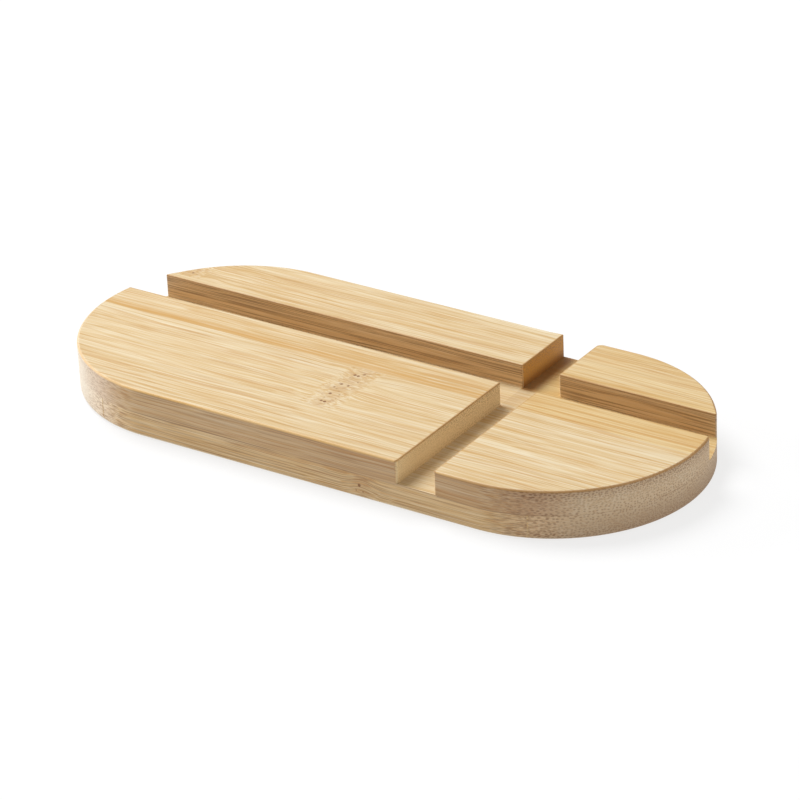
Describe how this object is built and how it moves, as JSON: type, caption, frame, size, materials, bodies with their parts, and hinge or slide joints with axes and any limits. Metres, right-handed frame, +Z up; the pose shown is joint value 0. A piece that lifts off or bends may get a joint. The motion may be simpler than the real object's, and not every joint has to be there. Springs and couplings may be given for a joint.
{
  "type": "phone stand",
  "caption": "Flat bamboo board with round ends; a phone or tablet stands in its long groove or in its cross groove.",
  "frame": {"origin": "centre of the underside, on the surface that the board stands on", "axes": "+X along the board, towards the end with the cross groove; +Y across it, towards the side with the long groove; +Z up"},
  "size_m": [0.2, 0.088, 0.015],
  "materials": {
    "upper_bamboo_1": "fine-sanded bamboo under a thin matt lacquer",
    "upper_bamboo_2": "fine-sanded bamboo under a thin matt lacquer",
    "upper_bamboo_3": "fine-sanded bamboo under a thin matt lacquer",
    "upper_bamboo_4": "fine-sanded bamboo under a thin matt lacquer",
    "lower_bamboo_1": "fine-sanded bamboo under a thin matt lacquer",
    "lower_bamboo_2": "fine-sanded bamboo under a thin matt lacquer",
    "lower_bamboo_3": "fine-sanded bamboo under a thin matt lacquer",
    "lower_bamboo_4": "fine-sanded bamboo under a thin matt lacquer",
    "lower_bamboo_5": "fine-sanded bamboo under a thin matt lacquer"
  },
  "bodies": {
    "root": {"upper_strip_1": "upper_bamboo_1", "upper_strip_2": "upper_bamboo_2", "upper_strip_3": "upper_bamboo_3", "upper_strip_4": "upper_bamboo_4", "lower_strip_1": "lower_bamboo_1", "lower_strip_2": "lower_bamboo_2", "lower_strip_3": "lower_bamboo_3", "lower_strip_4": "lower_bamboo_4", "lower_strip_5": "lower_bamboo_5"}
  },
  "joints": []
}
